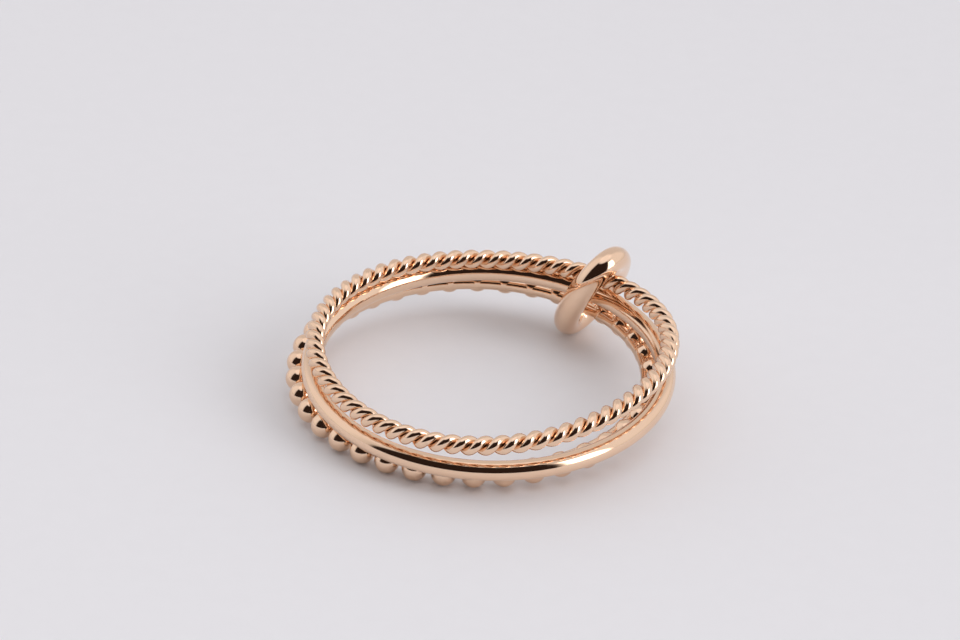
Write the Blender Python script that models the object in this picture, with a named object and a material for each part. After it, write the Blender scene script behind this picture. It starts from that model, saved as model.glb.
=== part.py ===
"""Three fine rose gold finger bands, held loosely together by one small oval link, as they lie on a table.

Metres, +Z up. The stack is built in the beaded band's own frame, then turned and set down on the table.
"""
import math

import bpy
import numpy as np
from mathutils import Matrix, Vector

MM = 0.001

# The finger that all three bands are worn on: the ring size, across the inside
FINGER_HOLE = 16.66 * MM

# Plain band: a round wire bent to a ring
PLAIN_WIRE = 1.00 * MM
PLAIN_EASE = 0.07 * MM
PLAIN_RING_RADIUS = FINGER_HOLE / 2 + PLAIN_EASE + PLAIN_WIRE / 2
PLAIN_SLIDE = (0.63 * MM, -1.21 * MM)
PLAIN_TILT = (0.97, 0.45)

# Rope band: two strands twisted to the left, and a little out of true
ROPE_STRAND = 0.49 * MM
ROPE_EASE = 0.05 * MM
ROPE_RING_RADIUS = FINGER_HOLE / 2 + ROPE_EASE + ROPE_STRAND
ROPE_LAY = 1.64 * MM
ROPE_WAIST = 0.32 * MM
ROPE_SLIDE = (0.77 * MM, -1.42 * MM)
ROPE_TILT = (-1.45, -1.36)
ROPE_WIDENING = 0.17 * MM
ROPE_WIDENING_PHASE = -83.0
ROPE_WARP = 0.20 * MM
ROPE_WARP_PHASE = 66.0

# Beaded band: round beads on a thin inner wire
BEAD = 1.28 * MM
BEAD_RING_RADIUS = (FINGER_HOLE + BEAD) / 2
BEAD_GAP = 0.20 * MM
BEAD_START = 4.2
RAIL_WIRE = 0.52 * MM
RAIL_INSET = 0.38 * MM

# Connector link: an oval of thick round wire round all three bands
LINK_WIRE = 1.32 * MM
LINK_SIDE_PLAY = 0.32 * MM
LINK_PLACE = 54.2
LINK_FACING = 51.6
LINK_SKEW = 28.4

# Clearances between loose pieces
BAND_GAP = 0.04 * MM
LINK_GAP = 0.03 * MM

# Fineness of the solids
CURVE_SAMPLES = 360
PLAIN_SECTIONS = 72
PLAIN_SIDES = 10
ROPE_TURN_SECTIONS = 8
ROPE_SIDES = 10
BEAD_SIDES = 10
BEAD_RINGS = 6
RAIL_SECTIONS = 76
RAIL_SIDES = 6
LINK_SECTIONS = 40
LINK_BEVEL_RESOLUTION = 3
SEARCH_STEPS = 40
STEEPEST_REST = 25.0

# Finish: polished rose gold
ROSE_GOLD = (0.79, 0.55, 0.40, 1.0)
POLISH = 0.08
SHARP_ANGLE = 50.0


def clear_scene():
    for thing in list(bpy.data.objects):
        bpy.data.objects.remove(thing, do_unlink=True)


def new_collection(name):
    made = bpy.data.collections.new(name)
    bpy.context.scene.collection.children.link(made)
    return made


def gold(name, roughness):
    made = bpy.data.materials.new(name)
    made.use_nodes = True
    shader = made.node_tree.nodes["Principled BSDF"]
    shader.inputs["Base Color"].default_value = ROSE_GOLD
    shader.inputs["Metallic"].default_value = 1.0
    shader.inputs["Roughness"].default_value = roughness
    return made


def keep(thing, collection, material):
    """Moves an object to its collection, gives it its material and shades it smooth."""
    for old in list(thing.users_collection):
        old.objects.unlink(thing)
    collection.objects.link(thing)
    thing.data.materials.clear()
    thing.data.materials.append(material)
    if thing.type == "MESH":
        thing.data.shade_smooth()
        thing.data.set_sharp_from_angle(angle=math.radians(SHARP_ANGLE))
    return thing


def hide_guide(thing, collection):
    for old in list(thing.users_collection):
        old.objects.unlink(thing)
    collection.objects.link(thing)
    thing.hide_render = True
    thing.display_type = "WIRE"


def tilt_matrix(tilt):
    """Turns a level band by its two small tilts, in degrees about X and about Y."""
    about_x, about_y = (math.radians(angle) for angle in tilt)
    normal = Vector((math.sin(about_y), -math.sin(about_x), 1.0)).normalized()
    across = (Vector((1, 0, 0)) - normal.x * normal).normalized()
    away = normal.cross(across)
    return Matrix((across, away, normal)).transposed()


def ring_points(radius, slide, height, tilt, count=CURVE_SAMPLES, widening=0.0, warp=0.0):
    """Points along the middle of a band. widening swells it in three waves and warp lifts it in two."""
    turn = np.array(tilt_matrix(tilt))
    angle = np.arange(count) * 2 * math.pi / count
    out = radius + widening * np.cos(3 * angle + math.radians(ROPE_WIDENING_PHASE))
    up = warp * np.cos(2 * angle + math.radians(ROPE_WARP_PHASE))
    level = np.stack([out * np.cos(angle), out * np.sin(angle), up], axis=1)
    return level @ turn.T + np.array([slide[0], slide[1], height])


def nearest(first, second):
    """The shortest distance between two rows of points."""
    apart = first[:, None, :] - second[None, :, :]
    return math.sqrt((apart ** 2).sum(axis=2).min())


def smallest(is_clear, low, high):
    """The smallest value between low and high that is clear, found by halving."""
    for _ in range(SEARCH_STEPS):
        middle = (low + high) / 2
        if is_clear(middle):
            high = middle
        else:
            low = middle
    return high


def seat_height(band, below, distance):
    """How high a band's middle lies when it rests on the one below. band gives its points at a height."""
    return smallest(lambda height: nearest(band(height), below) >= distance, 0.0, FINGER_HOLE)


def crossing(points, origin, normal):
    """Where a band's middle line goes through the link's plane, near the origin."""
    side = (points - origin) @ normal
    follow = np.roll(points, -1, axis=0)
    side_after = (follow - origin) @ normal
    passes = np.nonzero(side * side_after <= 0)[0]
    at = min(passes, key=lambda i: np.linalg.norm(points[i] - origin))
    share = side[at] / (side[at] - side_after[at])
    return points[at] + share * (follow[at] - points[at])


def link_frame(plain, rope, beads):
    """The link's middle, its long and short directions, from where the bands go through its plane."""
    azimuth = math.radians(LINK_FACING)
    outward = Vector((math.cos(azimuth), math.sin(azimuth), 0))
    along = Vector((-math.sin(azimuth), math.cos(azimuth), 0))
    normal = np.array(Matrix.Rotation(math.radians(LINK_SKEW), 3, outward) @ along)
    start = plain[round(LINK_PLACE / 360 * len(plain))]
    top = crossing(rope, start, normal)
    bottom = crossing(beads, start, normal)
    long_way = (top - bottom) / np.linalg.norm(top - bottom)
    outer_way = np.cross(normal, long_way)
    middle = (top + bottom) / 2 + long_way * (ROPE_STRAND - BEAD / 2) / 2
    return middle, long_way, outer_way


def oval_points(middle, long_way, short_way, half_length, half_width, count):
    angle = np.arange(count)[:, None] * 2 * math.pi / count
    return middle + half_length * np.cos(angle) * long_way + half_width * np.sin(angle) * short_way


def link_half_length(frame, half_width, bands):
    """The shortest oval that clears every band by the link's gap."""
    def is_clear(half_length):
        points = oval_points(*frame, half_length, half_width, CURVE_SAMPLES)
        return all(nearest(points, band) >= LINK_WIRE / 2 + radius + LINK_GAP for band, radius in bands)
    return smallest(is_clear, half_width, FINGER_HOLE)


def rest_direction(lying, everything):
    """Which way is up, in the stack's frame, when it lies at peace on the link and the beaded band.

    Raising the link's side by the pitch brings both to the table at once, and the roll across it is the one
    with the centre of mass lowest. Each entry is a row of points, a radius and a weight.
    """
    azimuth = math.radians(LINK_PLACE)
    toward = np.array([math.cos(azimuth), math.sin(azimuth), 0])
    across = np.array([-math.sin(azimuth), math.cos(azimuth), 0])
    weight = sum(entry[2] for entry in everything)
    centre = sum(entry[0].mean(axis=0) * entry[2] for entry in everything) / weight
    beads, link = lying

    def upward(pitch, roll):
        up = np.array([0, 0, 1]) + math.tan(pitch) * toward + math.tan(roll) * across
        return up / np.linalg.norm(up)

    def lowest(entry, up):
        return (entry[0] @ up).min() - entry[1]

    def level_pitch(roll):
        def link_is_raised(pitch):
            up = upward(pitch, roll)
            return lowest(link, up) >= lowest(beads, up)

        limit = math.radians(STEEPEST_REST)
        return smallest(link_is_raised, -limit, limit)

    def centre_height(roll):
        up = upward(level_pitch(roll), roll)
        return centre @ up - lowest(beads, up)

    low, high = -math.radians(STEEPEST_REST), math.radians(STEEPEST_REST)
    for _ in range(SEARCH_STEPS):
        first, second = low + (high - low) / 3, high - (high - low) / 3
        if centre_height(first) < centre_height(second):
            high = second
        else:
            low = first
    roll = (low + high) / 2
    return upward(level_pitch(roll), roll)


def bead_places():
    """Each bead's middle, evenly spaced round the beaded band."""
    count = round(2 * math.pi * BEAD_RING_RADIUS / (BEAD + BEAD_GAP))
    angle = math.radians(BEAD_START) + np.arange(count) * 2 * math.pi / count
    return BEAD_RING_RADIUS * np.stack([np.cos(angle), np.sin(angle), 0 * angle], axis=1)


def make_plain_band(height, parts, material):
    """A torus on the plain band's place."""
    bpy.ops.mesh.primitive_torus_add(
        major_radius=PLAIN_RING_RADIUS,
        minor_radius=PLAIN_WIRE / 2,
        major_segments=PLAIN_SECTIONS,
        minor_segments=PLAIN_SIDES,
        location=(PLAIN_SLIDE[0], PLAIN_SLIDE[1], height),
        rotation=tilt_matrix(PLAIN_TILT).to_euler(),
    )
    band = bpy.context.object
    band.name = "plain_band"
    return keep(band, parts, material)


def rope_section():
    """Outline of two twisted strands cut straight across: two lobes that meet in a waist."""
    lead = math.atan(math.pi * ROPE_STRAND / ROPE_LAY)
    deep = ROPE_STRAND / 2
    wide = deep / math.cos(lead)
    corners = []
    for step in range(ROPE_SIDES):
        angle = -step * 2 * math.pi / ROPE_SIDES
        out_share = math.cos(angle) / deep
        side_share = math.sin(angle) / wide
        lobe = 2 * abs(out_share) / (out_share ** 2 + side_share ** 2)
        reach = max(lobe, ROPE_WAIST / 2)
        corners.append((reach * math.cos(angle), reach * math.sin(angle), 0.0))
    return corners


def poly_curve(name, points, cyclic=True, flat=False):
    data = bpy.data.curves.new(name, "CURVE")
    data.dimensions = "2D" if flat else "3D"
    spline = data.splines.new("POLY")
    spline.points.add(len(points) - 1)
    for corner, place in zip(spline.points, points):
        corner.co = (*place, 1.0)
    spline.use_cyclic_u = cyclic
    made = bpy.data.objects.new(name, data)
    bpy.context.scene.collection.objects.link(made)
    return made


def make_rope_band(height, parts, guides, material):
    """The two-lobed section swept round the ring, turning once in each lay."""
    turns = round(2 * math.pi * ROPE_RING_RADIUS / ROPE_LAY)
    count = turns * ROPE_TURN_SECTIONS
    points = rope_points(height, count)
    band = poly_curve("rope_band", [tuple(point) for point in points])
    band.data.twist_mode = "Z_UP"
    for step, corner in enumerate(band.data.splines[0].points):
        corner.tilt = -step * 2 * math.pi / ROPE_TURN_SECTIONS
    section = poly_curve("rope_section", rope_section(), flat=True)
    hide_guide(section, guides)
    band.data.bevel_mode = "OBJECT"
    band.data.bevel_object = section
    return keep(band, parts, material)


def make_beaded_band(parts, guides, material):
    """Round beads, evenly spaced, fused to the thin wire that runs along their inner side."""
    places = bead_places()
    bpy.ops.mesh.primitive_torus_add(
        major_radius=BEAD_RING_RADIUS - RAIL_INSET,
        minor_radius=RAIL_WIRE / 2,
        major_segments=RAIL_SECTIONS,
        minor_segments=RAIL_SIDES,
    )
    rail = bpy.context.object
    rail.name = "bead_rail"
    bpy.ops.mesh.primitive_uv_sphere_add(radius=BEAD / 2, segments=BEAD_SIDES, ring_count=BEAD_RINGS)
    first = bpy.context.object
    beads = []
    for place in places:
        bead = bpy.data.objects.new("bead", first.data.copy())
        bead.location = place
        bead.rotation_euler = (0, 0, math.atan2(place[1], place[0]))
        bpy.context.scene.collection.objects.link(bead)
        beads.append(bead)
    bpy.data.objects.remove(first, do_unlink=True)
    bpy.ops.object.select_all(action="DESELECT")
    for bead in beads:
        bead.select_set(True)
    bpy.context.view_layer.objects.active = beads[0]
    bpy.ops.object.join()
    band = bpy.context.object
    band.name = "beaded_band"
    fuse = band.modifiers.new("fuse", "BOOLEAN")
    fuse.operation = "UNION"
    fuse.solver = "EXACT"
    fuse.object = rail
    hide_guide(rail, guides)
    return keep(band, parts, material)


def make_connector_link(points, parts, material):
    """Thick round wire along the oval."""
    link = poly_curve("connector_link", [tuple(point) for point in points])
    link.data.bevel_depth = LINK_WIRE / 2
    link.data.bevel_resolution = LINK_BEVEL_RESOLUTION
    return keep(link, parts, material)


def rope_points(height, count=CURVE_SAMPLES):
    return ring_points(ROPE_RING_RADIUS, ROPE_SLIDE, height, ROPE_TILT, count, ROPE_WIDENING, ROPE_WARP)


def plain_points(height):
    return ring_points(PLAIN_RING_RADIUS, PLAIN_SLIDE, height, PLAIN_TILT)


def world_box(things):
    """Lowest and highest corners of all the pieces as they show."""
    bpy.context.view_layer.update()
    graph = bpy.context.evaluated_depsgraph_get()
    corners = []
    for thing in things:
        shown = thing.evaluated_get(graph)
        mesh = shown.to_mesh()
        flat = np.empty(len(mesh.vertices) * 3, np.float32)
        mesh.vertices.foreach_get("co", flat)
        world = np.array(shown.matrix_world)
        corners.append(flat.reshape(-1, 3) @ world[:3, :3].T + world[:3, 3])
        shown.to_mesh_clear()
    corners = np.concatenate(corners)
    return corners.min(axis=0), corners.max(axis=0)


def main():
    clear_scene()
    parts = new_collection("linked_finger_ring")
    guides = new_collection("guides")

    beads = ring_points(BEAD_RING_RADIUS, (0, 0), 0, (0, 0))
    plain_height = seat_height(plain_points, beads, (BEAD + PLAIN_WIRE) / 2 + BAND_GAP)
    plain = plain_points(plain_height)
    rope_height = seat_height(rope_points, plain, PLAIN_WIRE / 2 + ROPE_STRAND + BAND_GAP)
    rope = rope_points(rope_height)

    frame = link_frame(plain, rope, beads)
    half_width = max(PLAIN_WIRE, BEAD) / 2 + LINK_SIDE_PLAY + LINK_WIRE / 2
    rail = ring_points(BEAD_RING_RADIUS - RAIL_INSET, (0, 0), 0, (0, 0))
    bands = ((bead_places(), BEAD / 2), (rail, RAIL_WIRE / 2), (plain, PLAIN_WIRE / 2), (rope, ROPE_STRAND))
    half_length = link_half_length(frame, half_width, bands)
    link = oval_points(*frame, half_length, half_width, LINK_SECTIONS)

    pieces = [
        make_rope_band(rope_height, parts, guides, gold("rope_gold", POLISH)),
        make_plain_band(plain_height, parts, gold("plain_gold", POLISH)),
        make_beaded_band(parts, guides, gold("bead_gold", POLISH)),
        make_connector_link(link, parts, gold("link_gold", POLISH)),
    ]

    lying = (
        (beads, BEAD / 2, BEAD_RING_RADIUS * BEAD ** 2),
        (link, LINK_WIRE / 2, half_length * LINK_WIRE ** 2),
    )
    raised = (
        (plain, PLAIN_WIRE / 2, PLAIN_RING_RADIUS * PLAIN_WIRE ** 2),
        (rope, ROPE_STRAND, 2 * ROPE_RING_RADIUS * ROPE_STRAND ** 2),
    )
    up = Vector(rest_direction(lying, lying + raised))

    stand = bpy.data.objects.new("ring_at_rest", None)
    parts.objects.link(stand)
    stand.rotation_euler = up.rotation_difference(Vector((0, 0, 1))).to_euler()
    for thing in pieces + list(guides.objects):
        thing.parent = stand
    low, high = world_box(pieces)
    stand.location = (-(low[0] + high[0]) / 2, -(low[1] + high[1]) / 2, -low[2])


main()
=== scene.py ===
"""Three rose gold finger bands, linked by one small oval link, lying on a pale table."""
import math

import bpy
import numpy as np
from mathutils import Matrix, Vector


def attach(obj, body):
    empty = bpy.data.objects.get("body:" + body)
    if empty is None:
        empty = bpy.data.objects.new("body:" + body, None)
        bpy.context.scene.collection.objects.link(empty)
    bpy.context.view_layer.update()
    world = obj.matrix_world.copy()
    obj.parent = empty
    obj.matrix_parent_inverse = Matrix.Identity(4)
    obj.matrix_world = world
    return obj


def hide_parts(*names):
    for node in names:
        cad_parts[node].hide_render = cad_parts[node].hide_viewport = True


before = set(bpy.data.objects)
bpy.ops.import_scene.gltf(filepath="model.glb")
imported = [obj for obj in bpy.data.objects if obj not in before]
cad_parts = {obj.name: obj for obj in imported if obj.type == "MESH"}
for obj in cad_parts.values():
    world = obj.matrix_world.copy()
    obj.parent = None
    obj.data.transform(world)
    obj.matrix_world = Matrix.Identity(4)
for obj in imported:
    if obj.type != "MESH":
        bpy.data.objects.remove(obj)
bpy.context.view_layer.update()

MM = 0.001

# The bands, in the stack's own frame: the beaded band is level there, with its middle at the origin
PLAIN_RING_RADIUS, PLAIN_WIRE = 8.90 * MM, 1.00 * MM
PLAIN_MIDDLE, PLAIN_TILT = Vector((0.63, -1.21, 1.1906)) * MM, (0.97, 0.45)
ROPE_RING_RADIUS, ROPE_STRAND, ROPE_TURNS = 8.87 * MM, 0.49 * MM, 34
ROPE_MIDDLE, ROPE_TILT = Vector((0.77, -1.42, 2.6127)) * MM, (-1.45, -1.36)
ROPE_WIDENING, ROPE_WIDENING_PHASE = 0.17 * MM, -83.0
ROPE_WARP, ROPE_WARP_PHASE = 0.20 * MM, 66.0
BEAD_RING_RADIUS, BEAD, BEAD_COUNT, BEAD_START = 8.97 * MM, 1.28 * MM, 38, 4.2
RAIL_RING_RADIUS, RAIL_DEPTH, RAIL_HEIGHT = 8.59 * MM, 0.50 * MM, 0.66 * MM

# The link in the same frame: its middle, the ways its long and short axes point, and its wire
LINK_MIDDLE = Vector((5.990, 6.284, 1.121)) * MM
LINK_LONG_WAY, LINK_OUTER_WAY = Vector((0.209, -0.479, 0.853)), Vector((0.694, 0.687, 0.216))
LINK_HALF_LENGTH, LINK_HALF_WIDTH, LINK_WIRE = 2.960 * MM, 1.62 * MM, 1.32 * MM

# The photograph's camera, in the same frame
CAMERA_PLACE = Vector((-2.365, -201.158, 132.498)) * MM
CAMERA_RIGHT = Vector((0.99981, 0.0, 0.01951))
CAMERA_BACK = Vector((-0.01055, -0.84125, 0.54054))
CAMERA_LENS, CAMERA_SENSOR = 178.7, 36.0
CAMERA_NEAR, CAMERA_FAR = 0.01, 10.0

# Polished rose gold: its colours, and how rough the polish of each piece is
GOLD_DEEP, GOLD_PALE = (0.900, 0.625, 0.435, 1.0), (0.940, 0.690, 0.510, 1.0)
PLAIN_POLISH, ROPE_POLISH, BEAD_POLISH, LINK_POLISH = 0.05, 0.09, 0.07, 0.05

# Its noises, each a place in the pattern, a scale and a detail: clouds in the alloy, hairline rubs from wear
# and the ripple left by polishing
CLOUD, RUB, WAVE = (0.0, 350.0, 3.0), (3.0, 2600.0, 4.0), (7.0, 420.0, 1.0)
RUB_DISTORTION, RUB_ROUGHNESS, RUB_HEIGHT = 1.2, 0.05, 0.06
RIPPLE_STRENGTH, RIPPLE_DEPTH = 0.25, 0.02 * MM

# The table: matt board, faintly lilac
BOARD_DEEP, BOARD_PALE = (0.764, 0.763, 0.792, 1.0), (0.784, 0.783, 0.812, 1.0)
BOARD_GRAIN, BOARD_GRAIN_DETAIL = 900.0, 3.0
BOARD_ROUGHNESS, BOARD_ROUGHNESS_SPREAD = 0.65, 0.1
TABLE_PLACE, TABLE_SIZE = (0, 0.1, 0), 0.9

# The tent of light: overhead glow with its elevation and soft edge in degrees, over an even wall
TENT_WHITE, ROOM_DARK = (1.0, 0.975, 0.985, 1.0), (0.035, 0.022, 0.018, 1.0)
TENT_LIGHT, OVERHEAD_LIGHT = 0.68, 0.33
OVERHEAD_FROM, OVERHEAD_EDGE = 66.0, 8.0

# Patches of the tent: azimuths (0 towards the camera), elevations and soft edge, and a lamp's strength
OPENING = (-69.0, 41.0), (-40.0, 62.0), 3.0
LAMPS = (
    ((46.0, 72.0), (6.0, 48.0), 4.0, 3.5),
    ((72.0, 140.0), (5.0, 70.0), 12.0, 0.20),
    ((-140.0, -80.0), (5.0, 70.0), 12.0, 0.20),
)

# The fill: a soft square over the camera, which lights the table and isn't mirrored in the gold
FILL_PLACE, FILL_SIZE, FILL_POWER = (0.0, -0.22, 0.32), 0.60, 0.64

# Fineness. A bevel resolution of 23 gives the link's wire 50 sides
MERGE_DISTANCE = 0.001 * MM
WIRE_SIDES, PLAIN_STEPS = 48, 320
ROPE_SIDES, ROPE_STEPS_A_TURN = 20, 30
BEAD_SIDES, BEAD_RINGS = 32, 20
RAIL_SIDES, RAIL_STEPS = 24, 304
LINK_BEVEL_RESOLUTION, LINK_STEPS = 23, 64


def upright(middle, tilt):
    """A band's place in the stack: its two small tilts about X and Y, in degrees, then its middle."""
    about_x, about_y = (math.radians(angle) for angle in tilt)
    normal = Vector((math.sin(about_y), -math.sin(about_x), 1.0)).normalized()
    across = (Vector((1, 0, 0)) - normal.x * normal).normalized()
    turn = Matrix((across, normal.cross(across), normal)).transposed()
    return Matrix.Translation(middle) @ turn.to_4x4()


def stack_place():
    """Where the stack lies on the table: the middle and the upward normal of the beaded band's solid."""
    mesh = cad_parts["beaded_band"].data
    points = np.empty(len(mesh.vertices) * 3, np.float32)
    mesh.vertices.foreach_get("co", points)
    points = np.unique(points.reshape(-1, 3).round(6), axis=0).astype(float)
    middle = points.mean(axis=0)
    normal = np.linalg.svd(points - middle, full_matrices=False)[2][2]
    normal = Vector(normal * math.copysign(1.0, normal[2]))
    turn = Vector((0, 0, 1)).rotation_difference(normal).to_matrix()
    return Matrix.Translation(Vector(middle)) @ turn.to_4x4()


STACK = stack_place()


# Modelling, step by step as by hand


def deselect():
    bpy.ops.object.select_all(action="DESELECT")


def pick(things):
    """Selects these things alone and makes the first one active."""
    deselect()
    for thing in things:
        thing.select_set(True)
    bpy.context.view_layer.objects.active = things[0]


def edit(thing):
    pick([thing])
    bpy.ops.object.mode_set(mode="EDIT")
    bpy.ops.mesh.select_all(action="SELECT")


def leave_edit():
    bpy.ops.object.mode_set(mode="OBJECT")


def apply(thing, kind, name, **settings):
    """Adds a modifier with these settings and applies it."""
    added = thing.modifiers.new(name, kind)
    for key, value in settings.items():
        setattr(added, key, value)
    pick([thing])
    bpy.ops.object.modifier_apply(modifier=name)


def settle(thing, place):
    """Moves the mesh to its place and leaves the object itself at the origin."""
    thing.data.transform(place)
    thing.matrix_world = Matrix.Identity(4)
    thing.data.update()


def finish_piece(thing, name, node, material):
    """Merges the seam, turns the faces outwards, shades smooth and puts the piece in its solid's stead."""
    edit(thing)
    bpy.ops.mesh.remove_doubles(threshold=MERGE_DISTANCE)
    bpy.ops.mesh.normals_make_consistent(inside=False)
    leave_edit()
    thing.data.shade_smooth()
    thing.name = name
    thing.data.name = name
    thing.data.materials.clear()
    thing.data.materials.append(material)
    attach(thing, "root")
    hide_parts(node)


def spun_ring(radius, depth, height, sides, steps):
    """A wire's section, scaled to its depth and height, spun once round Z."""
    deselect()
    bpy.ops.mesh.primitive_circle_add(
        vertices=sides, radius=0.5, location=(radius, 0, 0), rotation=(math.radians(90), 0, 0)
    )
    ring = bpy.context.object
    ring.scale = (depth, height, 1)
    bpy.ops.object.transform_apply(location=True, rotation=True, scale=True)
    edit(ring)
    bpy.ops.mesh.spin(steps=steps, angle=2 * math.pi, center=(0, 0, 0), axis=(0, 0, 1))
    bpy.ops.mesh.select_all(action="SELECT")
    bpy.ops.mesh.remove_doubles(threshold=MERGE_DISTANCE)
    leave_edit()
    return ring


def make_plain_band(material):
    band = spun_ring(PLAIN_RING_RADIUS, PLAIN_WIRE, PLAIN_WIRE, WIRE_SIDES, PLAIN_STEPS)
    settle(band, STACK @ upright(PLAIN_MIDDLE, PLAIN_TILT))
    finish_piece(band, "plain_band_polished", "plain_band", material)


def rope_path():
    """The rope's middle line and its length: a circle, swollen in three waves and lifted in two."""
    count = ROPE_TURNS * ROPE_STEPS_A_TURN
    angles = [step * 2 * math.pi / count for step in range(count)]
    data = bpy.data.curves.new("rope_path", "CURVE")
    data.dimensions = "3D"
    spline = data.splines.new("POLY")
    spline.points.add(count - 1)
    for corner, angle in zip(spline.points, angles):
        out = ROPE_RING_RADIUS + ROPE_WIDENING * math.cos(3 * angle + math.radians(ROPE_WIDENING_PHASE))
        up = ROPE_WARP * math.cos(2 * angle + math.radians(ROPE_WARP_PHASE))
        corner.co = (out * math.cos(angle), out * math.sin(angle), up, 1.0)
    spline.use_cyclic_u = True
    data.twist_mode = "Z_UP"
    data.use_stretch = False
    path = bpy.data.objects.new("rope_path", data)
    bpy.context.scene.collection.objects.link(path)
    places = [corner.co.xyz for corner in spline.points]
    length = sum((a - b).length for a, b in zip(places, places[1:] + places[:1]))
    return path, length


def make_rope_band(material):
    """Two strands' sections, square to their run, screwed along a straight rope and bent round the path."""
    path, length = rope_path()
    lay = length / ROPE_TURNS
    lead = math.atan(math.pi * ROPE_STRAND / lay)
    deselect()
    strands = []
    for side in (1, -1):
        bpy.ops.mesh.primitive_circle_add(
            vertices=ROPE_SIDES,
            radius=ROPE_STRAND / 2,
            location=(side * ROPE_STRAND / 2, 0, 0),
            rotation=(side * lead, 0, 0),
        )
        bpy.ops.object.transform_apply(location=True, rotation=True, scale=True)
        strands.append(bpy.context.object)
    pick(strands)
    bpy.ops.object.join()
    rope = bpy.context.object
    apply(
        rope,
        "SCREW",
        "twist",
        axis="Z",
        angle=-2 * math.pi,
        screw_offset=lay,
        iterations=ROPE_TURNS,
        steps=ROPE_STEPS_A_TURN,
        render_steps=ROPE_STEPS_A_TURN,
        use_merge_vertices=False,
    )
    apply(rope, "CURVE", "bend", object=path, deform_axis="POS_Z")
    bpy.data.objects.remove(path, do_unlink=True)
    settle(rope, STACK @ upright(ROPE_MIDDLE, ROPE_TILT))
    finish_piece(rope, "rope_band_twisted", "rope_band", material)


def make_beaded_band(material):
    """One bead copied round the ring, and the wire spun along the beads' inner side."""
    deselect()
    bpy.ops.mesh.primitive_uv_sphere_add(radius=BEAD / 2, segments=BEAD_SIDES, ring_count=BEAD_RINGS)
    model = bpy.context.object
    beads = []
    for step in range(BEAD_COUNT):
        angle = math.radians(BEAD_START) + step * 2 * math.pi / BEAD_COUNT
        bead = bpy.data.objects.new("bead", model.data.copy())
        bpy.context.scene.collection.objects.link(bead)
        bead.data.transform(Matrix.Rotation(angle, 4, "Z") @ Matrix.Translation((BEAD_RING_RADIUS, 0, 0)))
        beads.append(bead)
    bpy.data.objects.remove(model, do_unlink=True)
    band = spun_ring(RAIL_RING_RADIUS, RAIL_DEPTH, RAIL_HEIGHT, RAIL_SIDES, RAIL_STEPS)
    pick([band, *beads])
    bpy.ops.object.join()
    settle(band, STACK)
    finish_piece(band, "beaded_band_soldered", "beaded_band", material)


def make_connector_link(material):
    """A bezier circle drawn out to the oval, and given the wire's thickness."""
    deselect()
    bpy.ops.curve.primitive_bezier_circle_add(radius=1.0, location=(0, 0, 0))
    link = bpy.context.object
    link.scale = (LINK_HALF_LENGTH, LINK_HALF_WIDTH, 1)
    bpy.ops.object.transform_apply(location=True, rotation=True, scale=True)
    for corner in link.data.splines[0].bezier_points:
        corner.radius = 1.0
    link.data.resolution_u = LINK_STEPS
    link.data.bevel_depth = LINK_WIRE / 2
    link.data.bevel_resolution = LINK_BEVEL_RESOLUTION
    bpy.ops.object.convert(target="MESH")
    link = bpy.context.object
    long_way = LINK_LONG_WAY.normalized()
    outer_way = (LINK_OUTER_WAY - LINK_OUTER_WAY.dot(long_way) * long_way).normalized()
    turn = Matrix((long_way, outer_way, long_way.cross(outer_way))).transposed()
    settle(link, STACK @ Matrix.Translation(LINK_MIDDLE) @ turn.to_4x4())
    finish_piece(link, "connector_link_polished", "connector_link", material)


# Finishes


class Socket:
    """An output socket that takes part in sums, so that shader maths reads as an expression."""

    def __init__(self, tree, output):
        self.tree = tree
        self.output = output

    def math(self, operation, *values):
        node = self.tree.nodes.new("ShaderNodeMath")
        node.operation = operation
        for plug, value in zip(node.inputs, (self, *values)):
            connect(self.tree, plug, value)
        return Socket(self.tree, node.outputs[0])

    def __add__(self, other):
        return self.math("ADD", other)

    __radd__ = __add__

    def __mul__(self, other):
        return self.math("MULTIPLY", other)

    __rmul__ = __mul__

    def __rsub__(self, other):
        return (self * -1.0).math("ADD", other)


def connect(tree, plug, value):
    if isinstance(value, Socket):
        tree.links.new(value.output, plug)
    else:
        plug.default_value = value


class Nodes:
    """A node tree being filled, with one way to add any node to it."""

    def __init__(self, tree):
        self.tree = tree

    def node(self, kind, settings=None, inputs=None, output=0):
        made = self.tree.nodes.new(kind)
        for key, value in (settings or {}).items():
            setattr(made, key, value)
        return self.wire(made, inputs or {}, output)

    def wire(self, made, inputs, output=0):
        for key, value in inputs.items():
            connect(self.tree, made.inputs[key], value)
        return Socket(self.tree, made.outputs[output])

    def blend(self, share, first, second):
        """The first colour where the share is 0 and the second where it is 1, by the Mix node's sockets."""
        return self.node("ShaderNodeMix", {"data_type": "RGBA"}, {0: share, 6: first, 7: second}, output=2)


def new_finish(name):
    material = bpy.data.materials.new(name)
    material.use_nodes = True
    return material, Nodes(material.node_tree), material.node_tree.nodes["Principled BSDF"]


def rose_gold(name, polish, seed):
    """Polished rose gold: slightly uneven alloy, hairline rubs from wear and a hand-polished ripple."""
    material, nodes, shader = new_finish(name)
    place = nodes.node("ShaderNodeTexCoord", output="Object")

    def noise(pattern, distortion=0.0):
        step, scale, detail = pattern
        return nodes.node(
            "ShaderNodeTexNoise",
            {"noise_dimensions": "4D"},
            {"Vector": place, "W": seed + step, "Scale": scale, "Detail": detail, "Distortion": distortion},
        )

    cloud = noise(CLOUD)
    rubs = noise(RUB, RUB_DISTORTION)
    wave = noise(WAVE)
    bump = nodes.node(
        "ShaderNodeBump",
        inputs={"Strength": RIPPLE_STRENGTH, "Distance": RIPPLE_DEPTH, "Height": wave + RUB_HEIGHT * rubs},
    )
    nodes.wire(
        shader,
        {
            "Base Color": nodes.blend(cloud, GOLD_DEEP, GOLD_PALE),
            "Metallic": 1.0,
            "Roughness": polish + RUB_ROUGHNESS * rubs,
            "Normal": bump,
        },
    )
    return material


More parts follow.
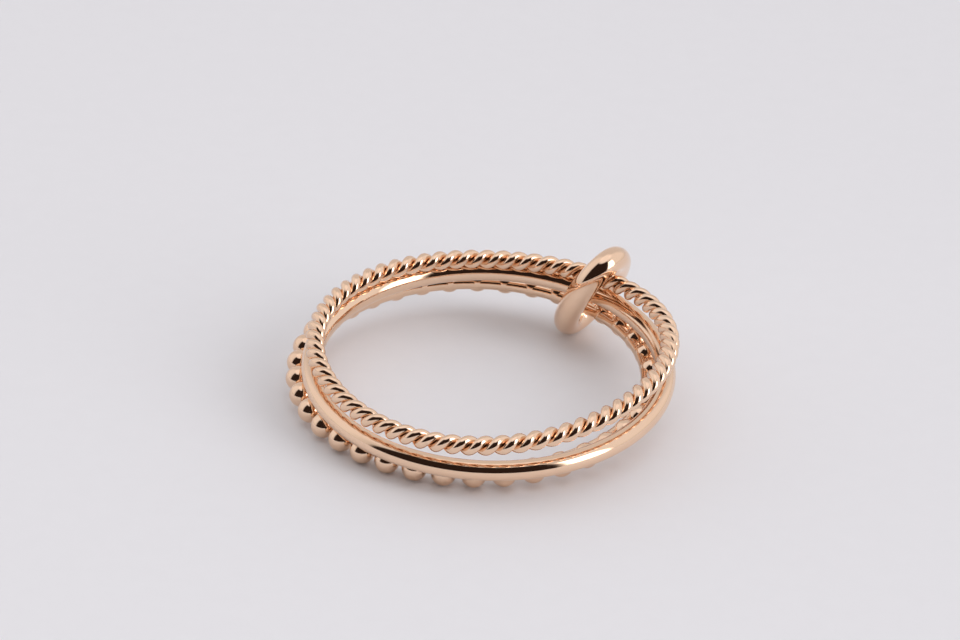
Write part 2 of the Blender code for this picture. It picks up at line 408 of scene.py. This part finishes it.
def table_board():
    """Pale, faintly lilac matt board."""
    material, nodes, shader = new_finish("table_board")
    place = nodes.node("ShaderNodeTexCoord", output="Object")
    grain = nodes.node(
        "ShaderNodeTexNoise",
        inputs={"Vector": place, "Scale": BOARD_GRAIN, "Detail": BOARD_GRAIN_DETAIL},
    )
    nodes.wire(
        shader,
        {
            "Base Color": nodes.blend(grain, BOARD_DEEP, BOARD_PALE),
            "Roughness": BOARD_ROUGHNESS + BOARD_ROUGHNESS_SPREAD * grain,
        },
    )
    return material


# The setting: table, camera and light


def make_table(material):
    deselect()
    bpy.ops.mesh.primitive_plane_add(size=TABLE_SIZE, location=TABLE_PLACE)
    table = bpy.context.object
    table.name = "table"
    table.data.materials.append(material)


def make_camera():
    data = bpy.data.cameras.new("camera")
    data.lens = CAMERA_LENS
    data.sensor_width = CAMERA_SENSOR
    data.clip_start = CAMERA_NEAR
    data.clip_end = CAMERA_FAR
    camera = bpy.data.objects.new("camera", data)
    bpy.context.scene.collection.objects.link(camera)
    back = CAMERA_BACK.normalized()
    right = (CAMERA_RIGHT - CAMERA_RIGHT.dot(back) * back).normalized()
    turn = Matrix((right, back.cross(right), back)).transposed()
    camera.matrix_world = STACK @ Matrix.Translation(CAMERA_PLACE) @ turn.to_4x4()
    bpy.context.scene.camera = camera


def make_fill():
    """The soft square of light, turned to the ring."""
    data = bpy.data.lights.new("fill", "AREA")
    data.size = FILL_SIZE
    data.energy = FILL_POWER
    fill = bpy.data.objects.new("fill", data)
    bpy.context.scene.collection.objects.link(fill)
    fill.location = FILL_PLACE
    fill.rotation_euler = (-fill.location).to_track_quat("-Z", "Y").to_euler()
    fill.visible_glossy = False


def make_surroundings():
    """A white tent, brightest overhead, with a lamp at the right and the dark room in its front opening."""
    world = bpy.data.worlds.new("tent")
    bpy.context.scene.world = world
    world.use_nodes = True
    nodes = Nodes(world.node_tree)
    direction = nodes.node("ShaderNodeTexCoord", output="Generated")
    x, y, z = (nodes.node("ShaderNodeSeparateXYZ", inputs={0: direction}, output=axis) for axis in range(3))
    azimuth = x.math("ARCTAN2", y * -1.0)
    elevation = z.math("ARCSINE")

    def edge(value, place, soft):
        """0 below the place and 1 above it, in degrees, with a soft edge."""
        return nodes.node(
            "ShaderNodeMapRange",
            {"interpolation_type": "SMOOTHSTEP"},
            {"Value": value, "From Min": math.radians(place - soft), "From Max": math.radians(place + soft)},
        )

    def patch(sides, heights, soft):
        """1 inside a patch of the tent, between two azimuths and two elevations, and 0 outside."""
        across = edge(azimuth, sides[0], soft) * (1.0 - edge(azimuth, sides[1], soft))
        return across * edge(elevation, heights[0], soft) * (1.0 - edge(elevation, heights[1], soft))

    light = TENT_LIGHT + OVERHEAD_LIGHT * edge(elevation, OVERHEAD_FROM, OVERHEAD_EDGE)
    for sides, heights, soft, strength in LAMPS:
        light = light + strength * patch(sides, heights, soft)
    colour = nodes.blend(patch(*OPENING), TENT_WHITE, ROOM_DARK)
    nodes.wire(world.node_tree.nodes["Background"], {"Color": colour, "Strength": light})


def main():
    bpy.context.scene.view_settings.view_transform = "Standard"
    make_camera()
    make_surroundings()
    make_fill()
    make_table(table_board())
    make_plain_band(rose_gold("plain_rose_gold", PLAIN_POLISH, 1.0))
    make_rope_band(rose_gold("rope_rose_gold", ROPE_POLISH, 2.0))
    make_beaded_band(rose_gold("bead_rose_gold", BEAD_POLISH, 3.0))
    make_connector_link(rose_gold("link_rose_gold", LINK_POLISH, 4.0))
    deselect()


main()
